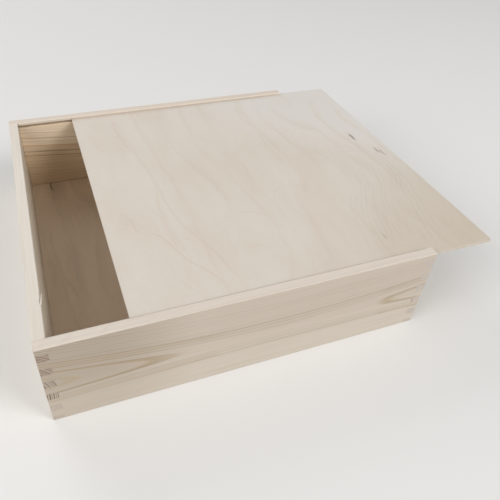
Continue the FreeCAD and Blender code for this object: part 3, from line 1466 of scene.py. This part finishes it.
@dataclass
class Splinter:
    """A sliver torn from an arris, still held at its root. Lengths are in metres.

    Section gives its corners as shares of half its width and half its thickness. It narrows
    and thins towards the tip with the powers of taper.
    """

    root: Triple
    tip: Triple
    width: float = 1.25 * MM
    thickness: float = 0.4 * MM
    curl: float = 0.5 * MM
    steps: int = 9
    taper: Pair = (0.6, 0.8)
    section: tuple[Pair, ...] = ((-1.0, -1.0), (1.0, -0.6), (0.8, 1.0), (-1.0, 0.7))

    def build(self, wood: bpy.types.Material) -> bpy.types.Object:
        """Makes the sliver.

        Args:
            wood: the material of its board.

        Returns:
            The finished piece.
        """
        root, tip = Vector(self.root), Vector(self.tip)
        shape = bmesh.new()
        rows = []
        for step in range(self.steps):
            share = step / self.steps
            middle = root.lerp(tip, share) + self.curl * math.sin(math.pi * share) * Vector(UPWARDS)
            wide = self.width * (1 - share) ** self.taper[0] / 2
            thick = self.thickness * (1 - share) ** self.taper[1] / 2
            rows.append([
                shape.verts.new(middle + Vector((wide * x, 0.0, thick * z))) for x, z in self.section
            ])
        point = shape.verts.new(tip)
        sides = [(one, (one + 1) % len(self.section)) for one in range(len(self.section))]
        for one, other in sides:
            for first, second in zip(rows, rows[1:]):
                shape.faces.new((first[one], first[other], second[other], second[one]))
            shape.faces.new((rows[-1][one], rows[-1][other], point))
        shape.faces.new(reversed(rows[0]))
        bmesh.ops.recalc_face_normals(shape, faces=shape.faces)
        piece = add_mesh("rim_splinter", shape)
        piece.data.materials.append(wood)
        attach(piece, "box")
        return piece


@dataclass
class PlySheet:
    """A plywood sheet of three plies, which stands for its node."""

    node: str
    body: str
    face: VeneerFigure
    core: VeneerFigure
    joinery: Joinery
    plies: int = 3
    recess: float = 0.08 * MM
    arris: float = 0.14 * MM

    def build(self) -> bpy.types.Object:
        """Lays up the sheet.

        Returns:
            The finished piece.
        """
        low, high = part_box(self.node)
        piece = add_mesh(f"{self.node}_plies", bmesh.new())
        add_tree(piece, "plies", stack_of_plies(), {
            "Size": high - low, "Middle": (high + low) / 2, "Plies": self.plies,
            "Recess": self.recess, "Face": self.face.material(self.joinery),
            "Core": self.core.material(self.joinery),
        })
        add_arrises(piece, self.arris)
        settle(piece)
        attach(piece, self.body)
        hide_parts(self.node)
        return piece


# --- Studio -----------------------------------------------------------------------------------


@dataclass(frozen=True)
class Lamp:
    """A soft square lamp that points at the box. Lengths are in metres, power in watts."""

    name: str
    place: Triple
    side: float
    power: float

    def hang(self, target: Vector) -> None:
        """Puts the lamp in the scene.

        Args:
            target: where it points.
        """
        light = bpy.data.lights.new(self.name, "AREA")
        light.shape = "SQUARE"
        light.size = self.side
        light.energy = self.power
        lamp = bpy.data.objects.new(self.name, light)
        lamp.location = self.place
        lamp.rotation_euler = (target - Vector(self.place)).to_track_quat("-Z", "Y").to_euler()
        bpy.context.scene.collection.objects.link(lamp)


@dataclass(frozen=True)
class Studio:
    """A pale floor, soft light and the camera. Lengths are in metres, turns in degrees."""

    floor_side: float = 24.0
    floor_colour: Colour = shade(236, 235, 233)
    floor_roughness: float = 0.8
    floor_specular: float = 0.1
    sky: float = 0.346
    backdrop: float = 0.85
    target: Triple = (0.0, 0.0, 0.05)
    lamps: tuple[Lamp, ...] = (
        Lamp("key_lamp", (1.95, -1.95, 2.205), 1.6, 54.9),
        Lamp("left_lamp", (-1.924, -0.70, 1.484), 1.4, 25.8),
        Lamp("back_lamp", (-0.84, 2.309, 1.771), 1.6, 17.4),
    )
    camera_place: Triple = (-0.13926, -0.42815, 0.39681)
    camera_turn: Triple = (49.785, -2.776, -20.015)
    lens_mm: float = 37.29
    sensor_mm: float = 36.0
    shift: Pair = (0.0527, -0.0310)
    nearest: float = 0.01

    def build(self) -> None:
        """Sets up everything round the box."""
        self.lay_floor()
        self.light_world()
        for lamp in self.lamps:
            lamp.hang(Vector(self.target))
        self.place_camera()
        bpy.context.scene.view_settings.view_transform = "Standard"

    def lay_floor(self) -> None:
        """A large plain floor under the box."""
        shape = bmesh.new()
        bmesh.ops.create_grid(shape, x_segments=1, y_segments=1, size=self.floor_side / 2)
        floor = add_mesh("floor", shape)
        draft = MaterialDraft("Pale floor", self.floor_specular)
        draft.feed(draft.surface["Base Color"], self.floor_colour)
        draft.feed(draft.surface["Roughness"], self.floor_roughness)
        floor.data.materials.append(draft.material)

    def light_world(self) -> None:
        """An even pale sky, which the camera sees as a pale backdrop."""
        world = bpy.data.worlds.new("studio")
        world.use_nodes = True
        writer = NodeWriter(world.node_tree)
        background = world.node_tree.nodes["Background"].inputs
        writer.feed(background["Color"], shade(255, 255, 255))
        rays = [
            writer.value("ShaderNodeLightPath", output=name)
            for name in ("Is Camera Ray", "Is Glossy Ray")
        ]
        seen = writer.math("MAXIMUM", *rays)
        writer.feed(background["Strength"], writer.spread(seen, self.sky, self.backdrop))
        bpy.context.scene.world = world

    def place_camera(self) -> None:
        """The camera, a little above the box and to its left."""
        camera = bpy.data.cameras.new("camera")
        camera.lens = self.lens_mm
        camera.sensor_width = self.sensor_mm
        camera.shift_x, camera.shift_y = self.shift
        camera.clip_start = self.nearest
        seen = bpy.data.objects.new("camera", camera)
        seen.location = self.camera_place
        seen.rotation_euler = Euler([math.radians(angle) for angle in self.camera_turn])
        bpy.context.scene.collection.objects.link(seen)
        bpy.context.scene.camera = seen


# --- The box ----------------------------------------------------------------------------------


# The front board: its darker upper part and its darker left end are painted shade, the upper part also
# heartwood, and the dark line along its lip is the painted shadow of the gap at the lid.
FRONT = PineFigure(
    "Pine front", Grain.ALONG_X, (0.0225, -0.164, 0.04265), spacing=2.1 * MM, heart_and_shade=(0.018, 0.058),
    band=(0.0125, 0.042), side_shade=PaintedSideShade((-0.043, -0.131)), gap=Gap(-0.045, 0.126, faint=0.6),
    rings=(
        Ring(11.9, 0.42, inner=0.4, outer=0.9),
        Ring(14.6, 0.48, inner=0.4, outer=1.0),
        Ring(15.9, 0.15, outer=0.5),
        Ring(16.9, 0.38, inner=0.4, outer=1.3, hold=0.45),
    ),
    flames=(
        Ring(3.2, 0.3, inner=0.4, outer=1.0, hold=0.7),
        Ring(8.1, 0.5, inner=0.5, outer=1.0, hold=0.7),
    ),
    zones=(
        Ring(3.2, 0.9, inner=0.5, outer=1.3, hold=0.8),
        Ring(8.0, 0.95, inner=0.9, outer=1.45, hold=0.8),
        Ring(11.9, 0.3, outer=0.9, hold=0.8),
        Ring(14.0, 0.3, inner=1.2, outer=3.4, hold=0.7),
    ),
    below=0.78, lip=Lip(lid_gap_shade=0.5), bow=0.241, rise=0.156, lean=-0.0075, waviness=0.45 * MM,
    fine=0.65, plain=0.12, tint=1.0,
    palette=PinePalette(
        sapwood_and_light=shade(218, 207, 193), heartwood_and_shade=shade(211, 198, 184), rim=shade(222, 211, 198),
        golden=shade(196, 176, 147), latewood=shade(152, 133, 107),
    ),
)
# The back board: its inner face is painted lighter and warmer than bare pine, as light and warm bounce
# light over its resinous tone, lightest along its upper part, where more light falls. Its lip is
# painted pale as light, with the painted shadow of the gap at the lid, and its outer face turns plain.
BACK = PineFigure(
    "Pine back", Grain.ALONG_X, (-0.1655, 0.1655, -0.05), spacing=2.3 * MM, heart_and_shade=(0.062, 0.048),
    band=(0.02, 0.145), rim=(0.0870, 0.0888),
    rings=(
        Ring(93.5, 0.7, outer=1.1),
        Ring(97.1, 1.0, outer=1.1, hold=0.5),
        Ring(102.6, 0.75),
        Ring(107.4, 0.4),
        Ring(117.0, 0.4),
        Ring(121.6, 0.85, outer=1.0),
        Ring(128.6, 0.35, outer=0.8),
    ),
    zones=(Ring(106.0, 0.25, inner=4.0, outer=6.0, hold=0.6),),
    lip=Lip(pale=0.9, lid_gap_shade=0.22, lid_gap_shade_band=(0.0893, 0.0905)), outside=OuterFace((0.167, 0.171)),
    lean=-0.1, fine=0.65, plain=0.5, tint=1.0,
    palette=PinePalette(
        sapwood_and_light=shade(254, 233, 203), heartwood_and_shade=shade(240, 214, 179), latewood=shade(138, 100, 64),
        golden=shade(222, 182, 138), rim=shade(222, 209, 195),
    ),
)
LEFT = PineFigure(
    "Pine left", Grain.ALONG_Y, (0.0, 0.205, 0.036), spacing=1.7 * MM, heart_and_shade=(0.0215, 0.028),
    band=(0.01, 0.044), deep=(0.055, 0.060), bow=0.1, fine=0.4, plain=0.1, tint=0.2, end_rings=1.6,
    palette=PinePalette(sapwood_and_light=shade(229, 216, 196), rim=shade(227, 218, 206)),
)
RIGHT = PineFigure(
    "Pine right", Grain.ALONG_Y, (0.0, -0.262, 0.05), spacing=1.6 * MM, heart_and_shade=(0.0, 0.02),
    band=(0.01, 0.2), bow=0.05, fine=0.3, end_rings=0.4,
    palette=PinePalette(
        end_sap=shade(207, 196, 185), end_heart=shade(207, 196, 185), end_late=shade(188, 175, 162),
    ),
)
CORNER_NICKS = (((0.1656, -0.176, 0.0312), (0.1665, -0.1741, 0.0356)),)
LEFT_NICKS = (
    ((-0.1664, -0.1312, 0.0912), (-0.1650, -0.1262, 0.0925)),
    ((-0.1659, -0.1265, 0.0912), (-0.1650, -0.1190, 0.0925)),
)
SPLINTER = Splinter((-0.1656, -0.1322, 0.0915), (-0.1638, -0.1195, 0.0919))
LID_LINES = (
    FigureLine((
        (160, -58), (99, -55), (56, -45.5), (0, -39), (-47, -36.5), (-66, -32), (-93, -22),
        (-126, -12), (-152, -6),
    ), 0.34, width=2.4),
    FigureLine((
        (160, -32), (122, -32), (82, -29), (43, -26.5), (16, -22), (-20, -21), (-47, -19),
    ), 0.26),
    FigureLine((
        (-22, -90), (-37, -82), (-53, -76), (-63, -76), (-70, -64), (-76, -57), (-86, -52),
        (-113, -42), (-123, -35.5), (-139, -26), (-156, -20.5),
    ), 0.4),
    FigureLine(((-30, -57), (-50, -50), (-73, -45.5), (-100, -40.5), (-119, -37)), 0.22, width=3),
    FigureLine(((-122, -63), (-140, -53), (-160, -43)), 0.22),
    FigureLine(((-80, 7), (-70, 3), (-57, 2)), 0.3, width=2.6, course=Course.SIDEWAYS),
    FigureLine(((75, 18), (59, 27), (49, 29), (36, 25)), 0.22),
    FigureLine(((105, 52), (86, 58.5), (66, 62)), 0.2),
    FigureLine(((135, 98), (105, 100), (85, 106.5), (56, 103.5), (33, 105), (-7, 108)), 0.24),
    FigureLine(((26, 57), (13, 60.5), (-7, 58.5), (-30, 54), (-38, 44)), 0.26),
    FigureLine((
        (12, -68), (43, -68), (57, -94), (69, -50), (77, -38), (97, -34),
    ), 0.3, course=Course.SIDEWAYS),
    FigureLine(((2, -120), (38, -118), (43, -128)), 0.2, width=3, course=Course.SIDEWAYS),
)
LID_SHADOWS = (
    FigureLine((
        (40, 176), (3, 188), (-20, 192), (-45, 190), (-60, 184), (-80, 172), (-100, 163),
        (-130, 154), (-160, 148),
    ), 0.21, width=2.5, beside=6, pitch=5),
    FigureLine((
        (30, 212), (-20, 217), (-60, 216), (-95, 208), (-130, 199), (-160, 192),
    ), 0.22, beside=1),
)
LID_KNOTS = (
    Knot((212.5, 40), length=30, width=10, depth=0.1),
    Knot((212.5, 38), length=18, width=4.4, depth=0.85),
    Knot((224.7, 3), length=18, width=3.4, depth=0.6, bend=12.0),
    Knot((228.5, -4), length=26, width=5.5, depth=0.3, bend=12.0),
    Knot((144.3, -137), length=15, width=2.6, depth=0.3),
)
FLOOR_LINES = (
    FigureLine((
        (76, -150), (56, -152.5), (33, -152.5), (10, -150), (-13, -147), (-33, -140), (-52, -134),
    ), 0.5, width=2.6),
    FigureLine(((-10, -150), (-54, -146), (-89, -142), (-106, -137), (-118, -129)), 0.4, width=3),
    FigureLine((
        (40, -140), (23, -135), (10, -129), (0, -124), (-7, -115), (-15, -104),
    ), 0.5, width=2.6, beside=1),
    FigureLine((
        (132, -132), (115, -127), (92, -122), (73, -119), (50, -116),
    ), 0.28, width=2.6, beside=1, pitch=8),
)
FLOOR_KNOTS_AND_SHADE = (
    Knot((-142.5, 158), length=30, width=4.6, depth=0.62, bend=14.0),
    # Painted shade where the floor meets the back wall, then a broad darker blotch beside it.
    Knot((-139.5, 165.5), length=6, width=16, depth=0.5),
    Knot((-137.0, 150), length=80, width=36, depth=0.2),
    Knot((-134.5, -10), length=170, width=24, depth=0.1),
)
# The lid is painted browner towards its front right corner, as shade, and cooler towards its back
# right, as cool light.
LID_FACE = VeneerFigure(
    "Lid veneer", 34 * MM, 6.0, (0.31, 0.12, 0.0), 0.2, LID_LINES, LID_SHADOWS, LID_KNOTS,
    painted_shade_run=(0.17, 0.37), painted_cool_light_run=(0.13, 0.29),
)
# The bottom's pale and cloud tones are warmer than the lid's: painted warm bounce light inside the
# box.
FLOOR_FACE = VeneerFigure(
    "Bottom veneer", 30 * MM, 6.0, (1.7, 0.4, 0.0), 0.38, FLOOR_LINES, knots=FLOOR_KNOTS_AND_SHADE,
    pale=shade(229, 206, 178), cloud=shade(219, 195, 167),
)
CORE = VeneerFigure("Core veneer", 30 * MM, 5.0, (0.9, 0.9, 0.0), 0.2, grain=Grain.ALONG_X)


class Carcass:
    """The four boards and the bottom."""

    def __init__(self) -> None:
        """Lists the pieces on the joints that the frame gives."""
        joints = Joinery.from_frame()
        ends = (Face.LEFT, Face.RIGHT, Face.UNDERSIDE, Face.RIM)
        sides = (Face.FRONT, Face.BACK, Face.UNDERSIDE)
        self.left = EndBoard("left_end_wall", LEFT, joints, (Face.LEFT, Face.RIM, *sides), LEFT_NICKS)
        self.pieces = (
            LongBoard("front_wall", FRONT, joints, (Face.FRONT, *ends), CORNER_NICKS),
            LongBoard("back_wall", BACK, joints, (Face.BACK, *ends)),
            self.left,
            EndBoard("right_end_wall", RIGHT, joints, (Face.RIGHT, *sides), CORNER_NICKS),
            PlySheet("bottom_panel", "box", FLOOR_FACE, CORE, joints),
        )

    def build(self) -> list[bpy.types.Object]:
        """Builds every piece and returns them."""
        made = [piece.build() for piece in self.pieces]
        return [*made, SPLINTER.build(self.left.wood)]


class Lid:
    """The plywood lid."""

    def build(self) -> list[bpy.types.Object]:
        """Builds the lid and returns its pieces."""
        return [PlySheet("lid", "lid", LID_FACE, CORE, Joinery.from_frame()).build()]


def main() -> None:
    """Builds the box and the studio."""
    logging.basicConfig(level=logging.INFO, format="%(message)s")
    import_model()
    Studio().build()
    for part in (Carcass(), Lid()):
        for piece in part.build():
            log.info("%s: %d faces", piece.name, len(piece.data.polygons))


if __name__ == "__main__":
    main()
